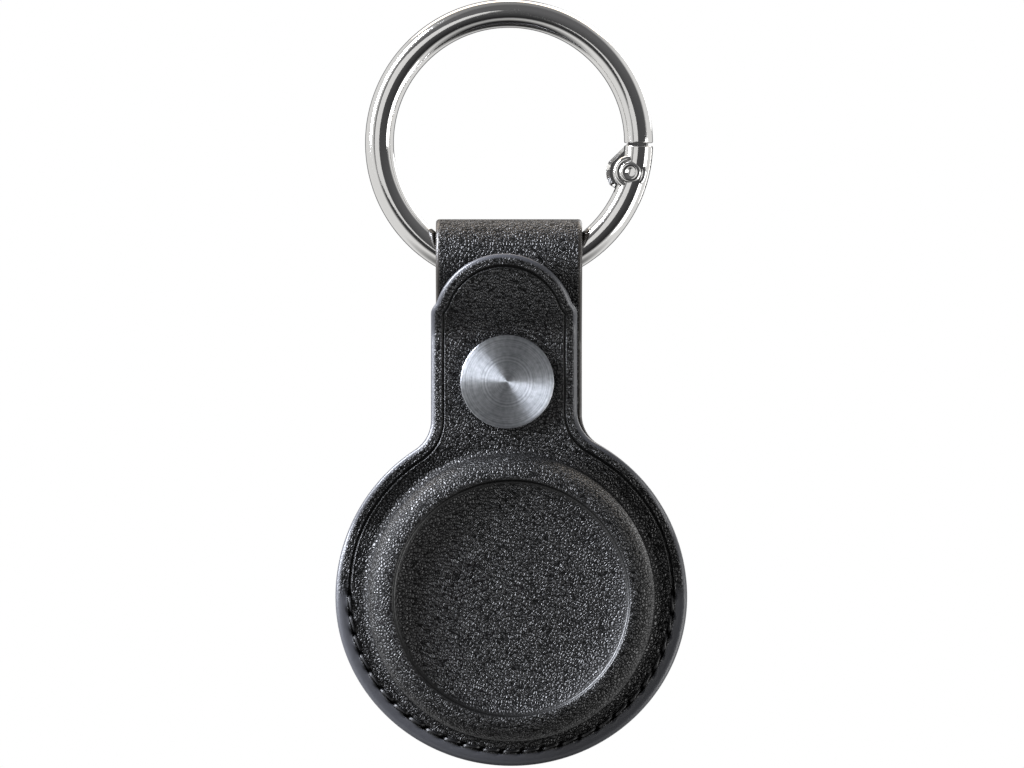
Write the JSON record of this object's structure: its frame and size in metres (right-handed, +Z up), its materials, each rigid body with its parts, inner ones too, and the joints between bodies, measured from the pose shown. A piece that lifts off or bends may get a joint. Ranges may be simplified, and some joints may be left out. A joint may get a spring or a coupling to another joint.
{
  "type": "leather tracker holder",
  "caption": "Moulded leather pouch for a coin-shaped tracker, hanging on a sprung gate ring, with a front flap held by a snap fastener.",
  "frame": {"origin": "hang point: the top of the ring's inside, in the middle plane of the ring", "axes": "+Z up along the hanging length, -Y out of the domed front, +X to the right seen from the front"},
  "size_m": [0.0429, 0.0118, 0.0933],
  "materials": {
    "polished_nickel": "bright polished nickel plating",
    "turned_steel": "fine concentric turned finish",
    "spring_steel": "drawn wire and turned steel",
    "black_leather": "semi-gloss fine pebble grain",
    "black_leather_back": "satin fine pebble grain"
  },
  "bodies": {
    "ring": {"ring_body": "polished_nickel"},
    "gate": {"ring_gate": "polished_nickel", "hinge_pin": "polished_nickel", "gate_spring": "spring_steel"},
    "plunger": {"gate_plunger": "spring_steel"},
    "pouch": {"back_panel": "black_leather_back", "strap_loop": "black_leather", "front_panel": "black_leather", "snap_stud": "turned_steel", "snap_post": "turned_steel"},
    "flap": {"front_flap": "black_leather", "snap_cap": "turned_steel", "snap_socket": "turned_steel", "snap_spring": "spring_steel"}
  },
  "joints": [
    {"name": "gate_hinge", "type": "hinge", "parent": "ring", "child": "gate", "pos_m": [0.01472, 0, -0.01759], "axis": [0, 1, 0], "range_deg": [0, 35], "stiffness_Nm_per_rad": 0.01, "springref_deg": -20.05, "deforming": ["strap_loop"]},
    {"name": "plunger_slide", "type": "slide", "parent": "gate", "child": "plunger", "axis": [-0.2368, 0, -0.9715], "range_m": [0, 0.0006], "deforming": ["gate_spring"]},
    {"name": "pouch_swing", "type": "hinge", "parent": "ring", "child": "pouch", "pos_m": [0, 0, -0.02807], "axis": [1, 0, 0], "range_deg": [-60, 90]},
    {"name": "flap_fold", "type": "hinge", "parent": "pouch", "child": "flap", "pos_m": [-0.00022, -0.00142, -0.04961], "axis": [1, 0, 0], "range_deg": [0, 90], "deforming": ["snap_spring"]}
  ],
  "couplings": [
    {"joint": "plunger_slide", "follows": "gate_hinge", "m_per_rad": 0.00098221}
  ]
}
